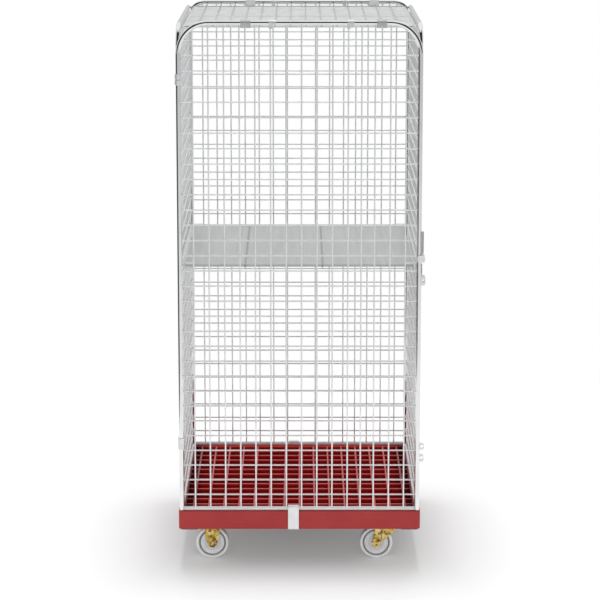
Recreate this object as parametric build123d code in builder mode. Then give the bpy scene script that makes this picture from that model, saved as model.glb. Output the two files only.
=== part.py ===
from build123d import *
import os
from math import sqrt

# A wire-mesh roll container: a red plastic roll plate on four casters carries two side walls, a rear wall,
# a hinged front door with a latch, a hinged lid and a folding shelf.
# Frame: origin on the floor under the middle, +X to the right seen from the door, +Y to the back, +Z up.
# All sizes are in millimetres.

# Roll plate
BASE_X = 724
BASE_Y = 815
BASE_TOP = 180
BASE_BOTTOM = 125
BASE_CORNER_R = 14
BASE_EDGE_R = 3
SKIRT = 8
FOOT_PAD = 60
FOOT_PAD_DROP = 3.5
FOOT_PAD_SLOPE = 60
HOLLOW_DEPTH = 34
UNDER_RIB = 6
UNDER_RIB_X = 120
UNDER_RIB_Y = 150
SOCKET_BOSS_X = 66
SOCKET_BOSS_Y = 100
SOCKET_DEPTH = 48

# Deck of the roll plate: narrow cross slats between long ribs, with open pockets in every cell
DECK_X = 686
DECK_Y = 778
RIB_PITCH = 45.6
RIB_WIDTH = 4
RIB_RISE = 0.6
RIB_COUNT = 15
SLAT_PITCH = 58.5
SLAT_WIDTH = 11
SLAT_EDGE = 1
POCKET_ROWS = 13
POCKET_DEPTH = 17
EDGE_POCKET = 20.3

# Tubes and wires
TUBE_R = 7
TUBE_WALL = 1.5
RAIL_R = 6
WIRE_R = 2.25
WIRE_LAYER = 2.3
WELD = 1
FREE_GAP = 0.5
RUN_GAP = 0.1

# Wall panels
PANEL_X = 352
PANEL_Y = 396.5
DOOR_BEND = 88
REAR_BEND = 48
PANEL_TOP = 1638
POST_FOOT = 183
RAIL_Z = BASE_TOP + RAIL_R + FREE_GAP
SIDE_Y = 378.5
SIDE_BEND = 48
SIDE_TOP = 1628
WIRE_PITCH = 45.35
NARROW_PITCH = 39
PANEL_COLUMNS_LEFT = -311
PANEL_COLUMNS = 10
ROW_COUNT = 31
PANEL_FIRST_ROW = 228.7
SIDE_FIRST_ROW = 241.5
SIDE_COLUMN_COUNT = 16
SHELF_ROW = 15

# Strap clips between the walls' posts
CLIP_R = 10
CLIP_HEIGHT = 33
HINGE_BAND = 15.5
HINGE_BAND_EDGE = 1.2
UPPER_CLIP_Z = 1457.5
LOWER_CLIP_Z = 370

# Plates over the bottom rails, and clips and lid rests along the top rails
SHEET = 2.5
HOLD_PLATE_X = -18
HOLD_PLATE_WIDTH = 32
LID_CLIP_X = (-156, 239)
LID_CLIP_WIDTH = 30
LID_CLIP_FRONT_DROP = 14
LID_CLIP_BACK_DROP = 4
LID_CLIP_HOLE_R = 2
LID_CLIP_HOLE_DROP = 10.3
LID_REST_X = (-78, 149)
LID_REST_WIDTH = 21.5
LID_REST_SHEET = 2
LID_REST_OUTER_DROP = 6
LID_REST_FOOT_WIDTH = 11

# Lid, which lies between the top rails
LID_Z = 1626
LID_ROD_R = 3
LID_HALF_X = 336
LID_HALF_Y = 382
LID_BEND = 12
LID_CROSS_WIRES = 16
LID_CROSS_PITCH = 44.9
LID_LONG_WIRES = 14
LID_LONG_LEFT = -295
LID_LONG_PITCH = 44.85

# Folding shelf
SHELF_X = 676
SHELF_Y = 738
SHELF_SHEET = 2
SHELF_LIP = 7
SHELF_ROD_X = (-160, 68)
SHELF_ROD_R = 2.5
SHELF_GROOVE = 3
SHELF_GROOVE_DEPTH = 0.8
SHELF_LUG_Y = 356
SHELF_LUG_WIDTH = 22
SHELF_LUG_THICK = 3
SHELF_LUG_INNER_X = 312
SHELF_LUG_OUTER_X = 352

# Latch on the right posts
LATCH_Z = 945
LATCH_X = 364.6
LATCH_PIN_R = 2.5
LATCH_BOSS_R = 5
LATCH_EAR_R = 4.2
LATCH_EAR_Z = (940.7, 953.3)
LATCH_EAR = 2.8
LATCH_BRACKET_HEIGHT = 13
LATCH_LEVER_Y = (-403.9, -389.3)
LATCH_LEVER_X = 359.8
LATCH_LEVER_TOP = 1027
LATCH_SHEET = 1.6
GRIP_Z = (961, 1027)
GRIP_THICK = 3
GRIP_WIDTH = 15
POST_CLAMP_R = 9.4
KEEPER_Z = (898, 918.5)
KEEPER_PLATE_TOP = 930
KEEPER_PLATE_X = (359.6, 362.2)
KEEPER_PLATE_Y = (-400, -371)
EYE_THICK = 3
EYE_INNER_X = 357.5
EYE_OUTER_X = 371.3
EYE_HOLE_X = 364.8
EYE_HOLE_R = 4.4
EYE_CORNER_R = 6
DOOR_EYE_Y = -397
FRAME_EYE_Y = -378
PADLOCK_EYE = (880, 28)
DOOR_CATCH_EYE = (378.5, 21)
FRAME_CATCH_EYE = (338, 24)

# Casters
CASTER_X = 265
CASTER_Y = 282
PLATE_X = 105
PLATE_Y = 85
PLATE_T = 3
PLATE_CORNER_R = 6
PLATE_BOTTOM = BASE_BOTTOM - PLATE_T
CASTER_PAD_X = 112
CASTER_PAD_Y = 92
BOLT_SPACING_X = 80
BOLT_SPACING_Y = 60
BOLT_R = 4
BOLT_HOLE_R = 4.3
BOLT_HEAD_R = 7
BOLT_HEAD = 5.5
BOLT_REACH = 24
WHEEL_R = 50
TYRE_INNER_R = 41
TYRE_HALF = 15
AXLE_Z = WHEEL_R
AXLE_R = 4
AXLE_GAP = 0.05
AXLE_HEAD_R = 7
AXLE_HEAD = 5
LEG_IN = 17
LEG_T = 3
LEG_STEP = 2.2
LEG_END_R = 14
FIXED_LEG_TOP = 50
FIXED_LEG_KNEE = 41
FIXED_LEG_KNEE_Z = 65
TRAIL = 31
RACE_R = 29
RACE_SKIRT = 2
RACE_BOTTOM = 107
RACE_CEILING = 116
CROWN_R = 26
CROWN_TOP = 111
YOKE_TOP = 106
YOKE_BOTTOM = 103
YOKE_BACK = 31
YOKE_FRONT = 24
GUSSET_HOLE_R = 4
BALL_R = 2.2
BALL_RING_R = 18
BALL_COUNT = 14
KING_PIN_R = 6
KING_NUT_R = 9
KING_NUT = 5

os.makedirs("parts", exist_ok=True)


def finish(piece, label):
    """Name a finished piece and write it to its own file."""
    piece.part.label = label
    export_step(piece.part, f"parts/{label}.step")


def row_heights(first):
    """Heights of a wall's horizontal wires, from the lowest up."""
    return [first + WIRE_PITCH * k for k in range(ROW_COUNT)]


def panel_columns():
    """Places of the upright wires across the door and the rear wall, two gaps right of the middle narrow."""
    left = [PANEL_COLUMNS_LEFT + WIRE_PITCH * k for k in range(PANEL_COLUMNS + 1)]
    narrow = [left[-1] + NARROW_PITCH * k for k in (1, 2)]
    right = [narrow[-1] + WIRE_PITCH * k for k in (1, 2)]
    return left + narrow + right


def side_columns():
    """Places of the upright wires from the front to the back of a side wall."""
    middle = (SIDE_COLUMN_COUNT - 1) / 2
    return [WIRE_PITCH * (k - middle) for k in range(SIDE_COLUMN_COUNT)]


def inside_bend(place, half_span, limit, bend):
    """How far a wire runs before it meets the inner side of a rounded frame corner, plus its weld.

    place is the wire's distance from the middle along the other direction, half_span the frame's half size
    that way, and limit the frame's centre line where the wire ends.
    """
    past_start = max(0, abs(place) - (half_span - bend))
    return limit - bend + sqrt((bend - TUBE_R) ** 2 - past_start**2) + WELD


def wall_frame(label, plane, half_span, foot, top, bend):
    """One length of tube bent to an upside-down U, drawn across and up in the wall's plane."""
    with BuildPart() as frame:
        with BuildLine(plane) as line:
            FilletPolyline(
                (-half_span, foot), (-half_span, top), (half_span, top), (half_span, foot), radius=bend
            )
        with BuildSketch(Plane(origin=line.line @ 0, z_dir=(0, 0, 1))):
            Circle(TUBE_R)
            Circle(TUBE_R - TUBE_WALL, mode=Mode.SUBTRACT)
        sweep()
    finish(frame, label)


def bottom_rail(label, plane, half_span):
    """A straight tube welded between the feet of a frame's posts."""
    reach = half_span - TUBE_R + WELD
    with BuildPart() as rail:
        with BuildSketch(plane.offset(-reach)):
            Circle(RAIL_R)
            Circle(RAIL_R - TUBE_WALL, mode=Mode.SUBTRACT)
        extrude(amount=2 * reach)
    finish(rail, label)


def panel_mesh(label, y, bend):
    """Welded wires of the door or the rear wall: uprights in front, level wires behind."""
    foot = RAIL_Z + RAIL_R - WELD
    with BuildPart() as mesh:
        for x in panel_columns():
            top = inside_bend(x, PANEL_X, PANEL_TOP, bend)
            with BuildSketch(Plane.XY.offset(foot)):
                with Locations((x, y - WIRE_LAYER)):
                    Circle(WIRE_R)
            extrude(amount=top - foot)
        for z in row_heights(PANEL_FIRST_ROW):
            above_bend = max(0, z - (PANEL_TOP - bend))
            reach = PANEL_X - bend + sqrt((bend - TUBE_R) ** 2 - above_bend**2) + WELD
            with BuildSketch(Plane.YZ.offset(-reach)):
                with Locations((y + WIRE_LAYER, z)):
                    Circle(WIRE_R)
            extrude(amount=2 * reach)
    finish(mesh, label)


def side_mesh(label, side):
    """Welded wires of a side wall: uprights outside, level wires inside, where the shelf hooks on."""
    foot = RAIL_Z + RAIL_R - WELD
    with BuildPart() as mesh:
        for y in side_columns():
            top = inside_bend(y, SIDE_Y, SIDE_TOP, SIDE_BEND)
            with BuildSketch(Plane.XY.offset(foot)):
                with Locations((side * (PANEL_X + WIRE_LAYER), y)):
                    Circle(WIRE_R)
            extrude(amount=top - foot)
        for z in row_heights(SIDE_FIRST_ROW):
            above_bend = max(0, z - (SIDE_TOP - SIDE_BEND))
            reach = SIDE_Y - SIDE_BEND + sqrt((SIDE_BEND - TUBE_R) ** 2 - above_bend**2) + WELD
            with BuildSketch(Plane.XZ.offset(-reach)):
                with Locations((side * (PANEL_X - WIRE_LAYER), z)):
                    Circle(WIRE_R)
            extrude(amount=2 * reach)
    finish(mesh, label)


def post_caps(label, y):
    """Domed plugs in the open feet of a panel's two posts."""
    with BuildPart() as caps:
        with BuildSketch(Plane.XY.offset(BASE_TOP + FREE_GAP)):
            with Locations((-PANEL_X, y), (PANEL_X, y)):
                Circle(TUBE_R - WELD - RUN_GAP)
        extrude(amount=POST_FOOT - BASE_TOP - FREE_GAP)
        fillet(caps.edges().group_by(Axis.Z)[0], 2)
        with BuildSketch(Plane.XY.offset(POST_FOOT)):
            with Locations((-PANEL_X, y), (PANEL_X, y)):
                Circle(TUBE_R - TUBE_WALL - RUN_GAP)
        extrude(amount=10)
    finish(caps, label)


def strap_clips(label, places, panel_y, tall=CLIP_HEIGHT, edge=0):
    """Straps that hold a panel's post against a side frame's post.

    places lists (side, lowest height) of each strap, tall is a strap's height and edge the rounding of its
    outer edges. The straps are notched where a side wall's level wire ends at the post.
    """
    y_panel, y_side = panel_y, SIDE_Y * (1 if panel_y > 0 else -1)
    with BuildPart() as clips:
        for side, z in places:
            with BuildSketch(Plane.XY.offset(z)):
                with Locations((side * PANEL_X, (y_panel + y_side) / 2)):
                    SlotCenterToCenter(abs(y_panel - y_side), 2 * CLIP_R, rotation=90)
                with Locations((side * PANEL_X, y_panel), (side * PANEL_X, y_side)):
                    Circle(TUBE_R + RUN_GAP, mode=Mode.SUBTRACT)
            extrude(amount=tall)
            if edge:
                ends = clips.edges(Select.LAST).filter_by(Plane.XY)
                fillet([e for e in ends if not e.is_closed], edge)
            for row in row_heights(SIDE_FIRST_ROW):
                if z - WIRE_R < row < z + tall + WIRE_R:
                    with BuildSketch(Plane.XZ):
                        with Locations((side * (PANEL_X - WIRE_LAYER), row)):
                            Circle(WIRE_R + RUN_GAP)
                    extrude(amount=-y_side, mode=Mode.SUBTRACT)
    finish(clips, label)


def hold_plate(label, y):
    """A bent strip that hooks over a panel's bottom rail and hangs down outside the base."""
    out = 1 if y > 0 else -1
    outer = out * (BASE_Y / 2 + 0.8)
    inner = y - out * (RAIL_R + 0.2)
    top = RAIL_Z + RAIL_R + 0.2
    with BuildPart() as plate:
        with BuildSketch(Plane.YZ.offset(HOLD_PLATE_X - HOLD_PLATE_WIDTH / 2)):
            Polygon(
                (outer, BASE_BOTTOM),
                (outer, top),
                (inner, top),
                (inner, RAIL_Z),
                (inner - out * SHEET, RAIL_Z),
                (inner - out * SHEET, top + SHEET),
                (outer + out * SHEET, top + SHEET),
                (outer + out * SHEET, BASE_BOTTOM),
                align=None,
            )
        extrude(amount=HOLD_PLATE_WIDTH)
        bends = plate.edges().filter_by(Axis.X).group_by(Axis.Z)[-1]
        fillet(bends, SHEET - 0.3)
    finish(plate, label)


def eye_plate(label, y, height, post_y):
    """A flat eye welded to the outer side of a right post, with a hole for a padlock or a hook."""
    middle, tall = height
    with BuildPart() as eye:
        with BuildSketch(Plane.XZ.offset(-y)):
            with Locations(((EYE_INNER_X + EYE_OUTER_X) / 2, middle)):
                Rectangle(EYE_OUTER_X - EYE_INNER_X, tall)
            with Locations((EYE_HOLE_X, middle)):
                Circle(EYE_HOLE_R, mode=Mode.SUBTRACT)
        extrude(amount=EYE_THICK)
        corners = eye.edges().filter_by(Axis.Y).group_by(Axis.X)[-1]
        fillet(corners, EYE_CORNER_R)
        with BuildSketch(Plane.XY.offset(middle)):
            with Locations((PANEL_X, post_y)):
                Circle(TUBE_R)
        extrude(amount=tall, both=True, mode=Mode.SUBTRACT)
    finish(eye, label)


# Roll plate: skirted tray with corner foot pads, sockets for the side frames and pads for the casters
with BuildPart() as base:
    with BuildSketch(Plane.XY.offset(BASE_BOTTOM)):
        RectangleRounded(BASE_X, BASE_Y, BASE_CORNER_R)
    extrude(amount=BASE_TOP - BASE_BOTTOM)
    fillet(base.faces().sort_by(Axis.Z)[-1].edges(), BASE_EDGE_R)
    with BuildSketch(Plane.XY.offset(BASE_BOTTOM)):
        RectangleRounded(BASE_X, BASE_Y, BASE_CORNER_R)
        Rectangle(BASE_X - 2 * FOOT_PAD, BASE_Y, mode=Mode.SUBTRACT)
        Rectangle(BASE_X, BASE_Y - 2 * FOOT_PAD, mode=Mode.SUBTRACT)
    extrude(amount=-FOOT_PAD_DROP, taper=FOOT_PAD_SLOPE)
    with BuildSketch(Plane.XY.offset(BASE_BOTTOM)):
        Rectangle(BASE_X - 2 * SKIRT, BASE_Y - 2 * SKIRT)
        with GridLocations(BASE_X - SOCKET_BOSS_X, BASE_Y - SOCKET_BOSS_Y, 2, 2):
            Rectangle(SOCKET_BOSS_X, SOCKET_BOSS_Y, mode=Mode.SUBTRACT)
        with GridLocations(2 * CASTER_X, 2 * CASTER_Y, 2, 2):
            Rectangle(CASTER_PAD_X, CASTER_PAD_Y, mode=Mode.SUBTRACT)
        with GridLocations(UNDER_RIB_X, 1, 3, 1):
            Rectangle(UNDER_RIB, BASE_Y, mode=Mode.SUBTRACT)
        with GridLocations(1, UNDER_RIB_Y, 1, 3):
            Rectangle(BASE_X, UNDER_RIB, mode=Mode.SUBTRACT)
    extrude(amount=HOLLOW_DEPTH, mode=Mode.SUBTRACT)
    with BuildSketch(Plane.XY.offset(BASE_TOP)):
        Rectangle(DECK_X, DECK_Y)
    extrude(amount=-RIB_RISE, mode=Mode.SUBTRACT)
    with BuildSketch(Plane.XY.offset(BASE_TOP - RIB_RISE)):
        with GridLocations(RIB_PITCH, SLAT_PITCH, RIB_COUNT - 1, POCKET_ROWS):
            Rectangle(RIB_PITCH - RIB_WIDTH, SLAT_PITCH - SLAT_WIDTH)
    extrude(amount=-SLAT_EDGE, taper=45, mode=Mode.SUBTRACT)
    with BuildSketch(Plane.XY.offset(BASE_TOP - RIB_RISE)):
        with GridLocations(RIB_PITCH, SLAT_PITCH, RIB_COUNT - 1, POCKET_ROWS):
            Rectangle(RIB_PITCH - RIB_WIDTH - 2 * SLAT_EDGE, SLAT_PITCH - SLAT_WIDTH - 2 * SLAT_EDGE)
        with GridLocations(DECK_X - EDGE_POCKET - 1, SLAT_PITCH, 2, POCKET_ROWS):
            Rectangle(EDGE_POCKET, SLAT_PITCH - SLAT_WIDTH)
    extrude(amount=-POCKET_DEPTH, mode=Mode.SUBTRACT)
    with BuildSketch(Plane.XY.offset(BASE_TOP - RIB_RISE)):
        with GridLocations(RIB_PITCH, 1, RIB_COUNT, 1):
            Rectangle(RIB_WIDTH, DECK_Y)
    extrude(amount=RIB_RISE)
    with BuildSketch(Plane.XY.offset(BASE_TOP)):
        with GridLocations(2 * PANEL_X, 2 * SIDE_Y, 2, 2):
            Circle(TUBE_R + RUN_GAP)
    extrude(amount=-SOCKET_DEPTH, mode=Mode.SUBTRACT)
    with BuildSketch(Plane.XY.offset(BASE_BOTTOM)):
        with GridLocations(2 * CASTER_X, 2 * CASTER_Y, 2, 2):
            with GridLocations(BOLT_SPACING_X, BOLT_SPACING_Y, 2, 2):
                Circle(BOLT_HOLE_R)
    extrude(amount=BOLT_REACH + 2, mode=Mode.SUBTRACT)
finish(base, "base_plate")

# Side walls
for name, side in (("left", -1), ("right", 1)):
    side_plane = Plane.YZ.offset(side * PANEL_X)
    wall_frame(f"{name}_side_frame", side_plane, SIDE_Y, BASE_TOP - SOCKET_DEPTH + 1, SIDE_TOP, SIDE_BEND)
    bottom_rail(f"{name}_side_rail", Plane((side * PANEL_X, 0, RAIL_Z), z_dir=(0, 1, 0)), SIDE_Y)
    side_mesh(f"{name}_side_mesh", side)

# Rear wall and door, which share one panel layout but for the bends at the top
for name, y, bend in (("rear", PANEL_Y, REAR_BEND), ("door", -PANEL_Y, DOOR_BEND)):
    wall_frame(f"{name}_frame", Plane.XZ.offset(-y), PANEL_X, POST_FOOT, PANEL_TOP, bend)
    bottom_rail(f"{name}_bottom_rail", Plane((0, y, RAIL_Z), z_dir=(1, 0, 0)), PANEL_X)
    panel_mesh(f"{name}_mesh", y, bend)
    post_caps(f"{name}_post_caps", y)
hold_plate("rear_hold_plate", PANEL_Y)
hold_plate("door_stop_plate", -PANEL_Y)
strap_clips("rear_wall_clips", [(s, z) for s in (-1, 1) for z in (LOWER_CLIP_Z, UPPER_CLIP_Z)], PANEL_Y)
hinge_bands = [(-1, UPPER_CLIP_Z), (-1, UPPER_CLIP_Z + CLIP_HEIGHT - HINGE_BAND)]
strap_clips("upper_door_hinge", hinge_bands, -PANEL_Y, HINGE_BAND, HINGE_BAND_EDGE)
strap_clips("lower_door_hinge", [(-1, LOWER_CLIP_Z)], -PANEL_Y)

# Clips that sit over the door's top rail, with a long leg in front that stands before the lid's front rod
with BuildPart() as lid_clips:
    front = -PANEL_Y - TUBE_R - RUN_GAP
    back = -PANEL_Y + TUBE_R + RUN_GAP
    for x in LID_CLIP_X:
        with BuildSketch(Plane.YZ.offset(x - LID_CLIP_WIDTH / 2)):
            with Locations((-PANEL_Y, PANEL_TOP)):
                Circle(TUBE_R + RUN_GAP + SHEET)
                Circle(TUBE_R + RUN_GAP, mode=Mode.SUBTRACT)
                Rectangle(4 * TUBE_R, 4 * TUBE_R, align=(Align.CENTER, Align.MAX), mode=Mode.SUBTRACT)
            with Locations((front, PANEL_TOP)):
                Rectangle(SHEET, LID_CLIP_FRONT_DROP, align=(Align.MAX, Align.MAX))
            with Locations((back, PANEL_TOP)):
                Rectangle(SHEET, LID_CLIP_BACK_DROP, align=(Align.MIN, Align.MAX))
        extrude(amount=LID_CLIP_WIDTH)
    with BuildSketch(Plane.XZ.offset(-front)):
        with Locations(*[(x, PANEL_TOP - LID_CLIP_HOLE_DROP) for x in LID_CLIP_X]):
            Circle(LID_CLIP_HOLE_R)
    extrude(amount=SHEET, mode=Mode.SUBTRACT)
finish(lid_clips, "lid_keeper_clips")

# Lid: a bent rod frame with a middle rod, a wire mesh and hinge straps
with BuildPart() as lid_frame:
    with BuildLine(Plane.XY.offset(LID_Z)) as outline:
        FilletPolyline(
            (-LID_HALF_X, -LID_HALF_Y),
            (LID_HALF_X, -LID_HALF_Y),
            (LID_HALF_X, LID_HALF_Y),
            (-LID_HALF_X, LID_HALF_Y),
            radius=LID_BEND,
            close=True,
        )
    with BuildSketch(Plane(origin=outline.line @ 0, z_dir=outline.line % 0)):
        Circle(LID_ROD_R)
    sweep()
    with BuildSketch(Plane.YZ.offset(-LID_HALF_X)):
        with Locations((0, LID_Z)):
            Circle(LID_ROD_R)
    extrude(amount=2 * LID_HALF_X)
finish(lid_frame, "lid_frame")

long_wire_x = [LID_LONG_LEFT + LID_LONG_PITCH * k for k in range(LID_LONG_WIRES)]
long_wire_z = LID_Z + 2 * WIRE_LAYER
long_reach = LID_HALF_Y + WIRE_R
with BuildPart() as lid_mesh:
    cross_reach = LID_HALF_X - LID_ROD_R + WELD
    with BuildSketch(Plane.XZ.offset(-long_reach)):
        with Locations(*[(x, long_wire_z) for x in long_wire_x]):
            Circle(WIRE_R)
    extrude(amount=2 * long_reach)
    with BuildSketch(Plane.YZ.offset(-cross_reach)):
        with Locations((0, LID_Z)):
            with GridLocations(LID_CROSS_PITCH, 1, LID_CROSS_WIRES, 1):
                Circle(WIRE_R)
    extrude(amount=2 * cross_reach)
finish(lid_mesh, "lid_mesh")

with BuildPart() as lid_straps:
    for x in LID_CLIP_X:
        for spare, mode in ((SHEET, Mode.ADD), (0, Mode.SUBTRACT)):
            with BuildSketch(Plane.YZ.offset(x - LID_CLIP_WIDTH / 2)):
                with Locations((PANEL_Y, PANEL_TOP)):
                    Circle(TUBE_R + RUN_GAP + spare)
                with Locations((LID_HALF_Y, LID_Z)):
                    Circle(LID_ROD_R + AXLE_GAP + spare)
                make_hull()
            extrude(amount=LID_CLIP_WIDTH, mode=mode)
    with BuildSketch(Plane.XZ.offset(-long_reach)):
        with Locations(*[(x, long_wire_z) for x in long_wire_x]):
            Circle(WIRE_R + RUN_GAP)
    extrude(amount=long_reach, mode=Mode.SUBTRACT)
finish(lid_straps, "lid_hinge_straps")

# Rests for the lid: strips bent over the top rails of door and rear wall, each with a foot under a rod
for name, y in (("door", -PANEL_Y), ("rear", PANEL_Y)):
    out = 1 if y > 0 else -1
    leg = y - out * (TUBE_R + RUN_GAP)
    foot_top = LID_Z - LID_ROD_R - FREE_GAP
    with BuildPart() as lid_rests:
        for x in LID_REST_X:
            with BuildSketch(Plane.YZ.offset(x - LID_REST_WIDTH / 2)):
                with Locations((y, PANEL_TOP)):
                    Circle(TUBE_R + RUN_GAP + LID_REST_SHEET)
                    Circle(TUBE_R + RUN_GAP, mode=Mode.SUBTRACT)
                    Rectangle(4 * TUBE_R, 4 * TUBE_R, align=(Align.CENTER, Align.MAX), mode=Mode.SUBTRACT)
                Polygon(
                    (y + out * (TUBE_R + RUN_GAP), PANEL_TOP),
                    (y + out * (TUBE_R + RUN_GAP + LID_REST_SHEET), PANEL_TOP),
                    (y + out * (TUBE_R + RUN_GAP + LID_REST_SHEET), PANEL_TOP - LID_REST_OUTER_DROP),
                    (y + out * (TUBE_R + RUN_GAP), PANEL_TOP - LID_REST_OUTER_DROP),
                    align=None,
                )
            extrude(amount=LID_REST_WIDTH)
            with BuildSketch(Plane.YZ.offset(x - LID_REST_WIDTH / 2)):
                Polygon(
                    (leg, PANEL_TOP),
                    (leg, foot_top - LID_REST_SHEET),
                    (out * (LID_HALF_Y - LID_REST_SHEET), foot_top - LID_REST_SHEET),
                    (out * (LID_HALF_Y - LID_REST_SHEET), foot_top),
                    (leg - out * LID_REST_SHEET, foot_top),
                    (leg - out * LID_REST_SHEET, PANEL_TOP),
                    align=None,
                )
            extrude(amount=LID_REST_FOOT_WIDTH)
    finish(lid_rests, f"{name}_lid_rests")

# Folding shelf: turned-down sheet, rods under it, and lugs that curl round the left wall's wire
hinge_x = -(PANEL_X - WIRE_LAYER)
hinge_z = SIDE_FIRST_ROW + WIRE_PITCH * SHELF_ROW
shelf_top = hinge_z + WIRE_R + RUN_GAP
with BuildPart() as shelf_sheet:
    with BuildSketch(Plane.XY.offset(shelf_top)):
        Rectangle(SHELF_X, SHELF_Y)
    extrude(amount=-SHELF_LIP)
    with BuildSketch(Plane.XY.offset(shelf_top - SHELF_LIP)):
        Rectangle(SHELF_X - 2 * SHELF_SHEET, SHELF_Y - 2 * SHELF_SHEET)
    extrude(amount=SHELF_LIP - SHELF_SHEET, mode=Mode.SUBTRACT)
    with BuildSketch(Plane.XY.offset(shelf_top)):
        with Locations(*[(x, 0) for x in SHELF_ROD_X]):
            Rectangle(SHELF_GROOVE, SHELF_Y)
    extrude(amount=-SHELF_GROOVE_DEPTH, mode=Mode.SUBTRACT)
finish(shelf_sheet, "shelf_sheet")

with BuildPart() as shelf_rods:
    with BuildSketch(Plane.XZ.offset(-SHELF_Y / 2 - SHELF_ROD_R)):
        with Locations(*[(x, shelf_top - SHELF_LIP - SHELF_ROD_R) for x in SHELF_ROD_X]):
            Circle(SHELF_ROD_R)
    extrude(amount=SHELF_Y + 2 * SHELF_ROD_R)
finish(shelf_rods, "shelf_rods")

lug_reach = SHELF_LUG_OUTER_X - SHELF_LUG_INNER_X
with BuildPart() as shelf_lugs:
    for y in (-SHELF_LUG_Y, SHELF_LUG_Y):
        with BuildSketch(Plane.XZ.offset(-y)):
            with Locations((hinge_x, hinge_z)):
                Circle(WIRE_R + RUN_GAP + SHELF_LUG_THICK)
            Polygon(
                (hinge_x, shelf_top),
                (hinge_x, shelf_top + SHELF_LUG_THICK),
                (-SHELF_LUG_INNER_X, shelf_top + SHELF_LUG_THICK),
                (-SHELF_LUG_INNER_X, shelf_top),
                align=None,
            )
            with Locations((hinge_x, hinge_z)):
                Circle(WIRE_R + RUN_GAP, mode=Mode.SUBTRACT)
            with Locations((SHELF_LUG_INNER_X, shelf_top)):
                Rectangle(lug_reach, SHELF_LUG_THICK, align=(Align.MIN, Align.MIN))
        extrude(amount=SHELF_LUG_WIDTH / 2, both=True)
finish(shelf_lugs, "shelf_lugs")

# Latch: clamp with two ears on the door's right post, pin, turning lever with its grip, keeper on the frame
lever_front, lever_back = LATCH_LEVER_Y
ear_front = lever_front - FREE_GAP + 0.2
ear_back = lever_back + FREE_GAP - 0.2
with BuildPart() as latch_bracket:
    with BuildSketch(Plane.XY.offset(LATCH_Z - LATCH_BRACKET_HEIGHT / 2)):
        with Locations((PANEL_X, -PANEL_Y)):
            Circle(POST_CLAMP_R)
    extrude(amount=LATCH_BRACKET_HEIGHT)
    for y in (ear_front, ear_back + LATCH_EAR):
        with BuildSketch(Plane.XZ.offset(-y)):
            with Locations(*[(LATCH_X, z) for z in LATCH_EAR_Z], *[(PANEL_X, z) for z in LATCH_EAR_Z]):
                Circle(LATCH_EAR_R)
            make_hull()
        extrude(amount=LATCH_EAR)
    with BuildSketch(Plane.XY.offset(LATCH_Z - LATCH_BRACKET_HEIGHT / 2)):
        with Locations((PANEL_X, -PANEL_Y)):
            Circle(TUBE_R + RUN_GAP)
        with Locations((PANEL_X + TUBE_R + 2 * RUN_GAP, ear_front)):
            Rectangle(LATCH_X, ear_back - ear_front, align=(Align.MIN, Align.MIN))
    extrude(amount=LATCH_BRACKET_HEIGHT, mode=Mode.SUBTRACT)
    with BuildSketch(Plane.XZ.offset(-ear_back - LATCH_EAR)):
        with Locations((LATCH_X, LATCH_Z)):
            Circle(LATCH_PIN_R + AXLE_GAP)
    extrude(amount=ear_back - ear_front + 2 * LATCH_EAR, mode=Mode.SUBTRACT)
finish(latch_bracket, "latch_bracket")

with BuildPart() as latch_pin:
    with BuildSketch(Plane.XZ.offset(-ear_back - LATCH_EAR - 1)):
        with Locations((LATCH_X, LATCH_Z)):
            Circle(LATCH_PIN_R)
    extrude(amount=ear_back - ear_front + 2 * LATCH_EAR + 1)
    with BuildSketch(Plane.XZ.offset(-ear_front + LATCH_EAR)):
        with Locations((LATCH_X, LATCH_Z)):
            Circle(LATCH_BOSS_R - 1)
    extrude(amount=LATCH_SHEET)
finish(latch_pin, "latch_pin")

grip_face = LATCH_LEVER_X + LATCH_SHEET
with BuildPart() as latch_lever:
    with BuildSketch(Plane.XZ.offset(-lever_back)):
        with Locations((LATCH_X, LATCH_Z)):
            Circle(LATCH_BOSS_R)
        with Locations((LATCH_LEVER_X, LATCH_Z)):
            Rectangle(LATCH_SHEET, LATCH_LEVER_TOP - LATCH_Z, align=(Align.MIN, Align.MIN))
        with Locations((LATCH_X, LATCH_Z)):
            Circle(LATCH_PIN_R + AXLE_GAP, mode=Mode.SUBTRACT)
    extrude(amount=lever_back - lever_front)
finish(latch_lever, "latch_lever")

with BuildPart() as latch_grip:
    with BuildSketch(Plane.YZ.offset(grip_face)):
        with Locations(((lever_front + lever_back) / 2, sum(GRIP_Z) / 2)):
            RectangleRounded(GRIP_WIDTH, GRIP_Z[1] - GRIP_Z[0], 4)
    extrude(amount=GRIP_THICK)
    fillet(latch_grip.faces().sort_by(Axis.X)[-1].edges(), 1.5)
finish(latch_grip, "latch_grip")

with BuildPart() as latch_keeper:
    with BuildSketch(Plane.XY.offset(KEEPER_Z[0])):
        with Locations((PANEL_X, -SIDE_Y)):
            Circle(POST_CLAMP_R)
            Circle(TUBE_R + RUN_GAP, mode=Mode.SUBTRACT)
    extrude(amount=KEEPER_Z[1] - KEEPER_Z[0])
    with BuildSketch(Plane.XY.offset(KEEPER_Z[0])):
        with Locations((KEEPER_PLATE_X[0], KEEPER_PLATE_Y[0])):
            Rectangle(
                KEEPER_PLATE_X[1] - KEEPER_PLATE_X[0],
                KEEPER_PLATE_Y[1] - KEEPER_PLATE_Y[0],
                align=(Align.MIN, Align.MIN),
            )
    extrude(amount=KEEPER_PLATE_TOP - KEEPER_Z[0])
finish(latch_keeper, "latch_keeper")

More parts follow.
